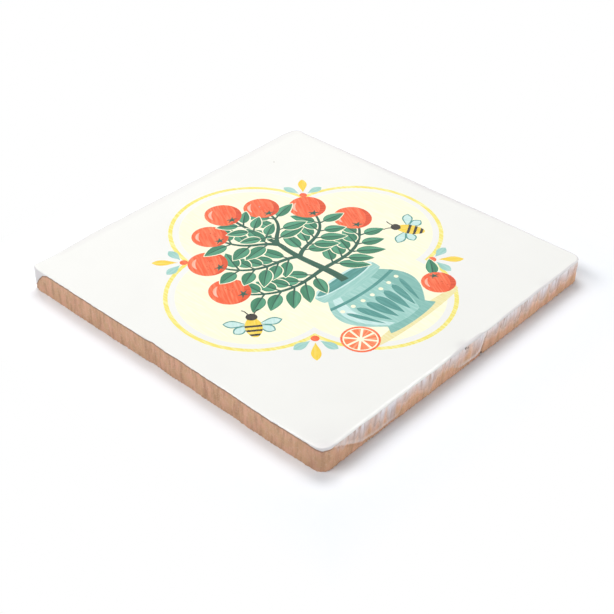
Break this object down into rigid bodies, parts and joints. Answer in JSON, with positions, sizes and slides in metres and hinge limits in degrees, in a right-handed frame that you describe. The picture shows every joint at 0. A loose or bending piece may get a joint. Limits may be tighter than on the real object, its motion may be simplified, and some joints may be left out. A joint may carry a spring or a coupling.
{
  "type": "picture tile",
  "caption": "Square fired-clay wall tile with a white glossy glaze rolled over its rim, a printed picture on the face, bare clay sides and a plain flat back.",
  "frame": {"origin": "centre of the flat back, which is the face the tile lies on", "axes": "+Z out of the glazed face, +Y towards the top of the picture, +X towards its right-hand edge"},
  "size_m": [0.1, 0.1, 0.007],
  "materials": {
    "glazed_earthenware": "glossy white glaze with a fired-in picture on the face and rim, over tan biscuit-fired clay that is bare on the sides and the back"
  },
  "bodies": {
    "root": {"tile": "glazed_earthenware"}
  },
  "joints": []
}
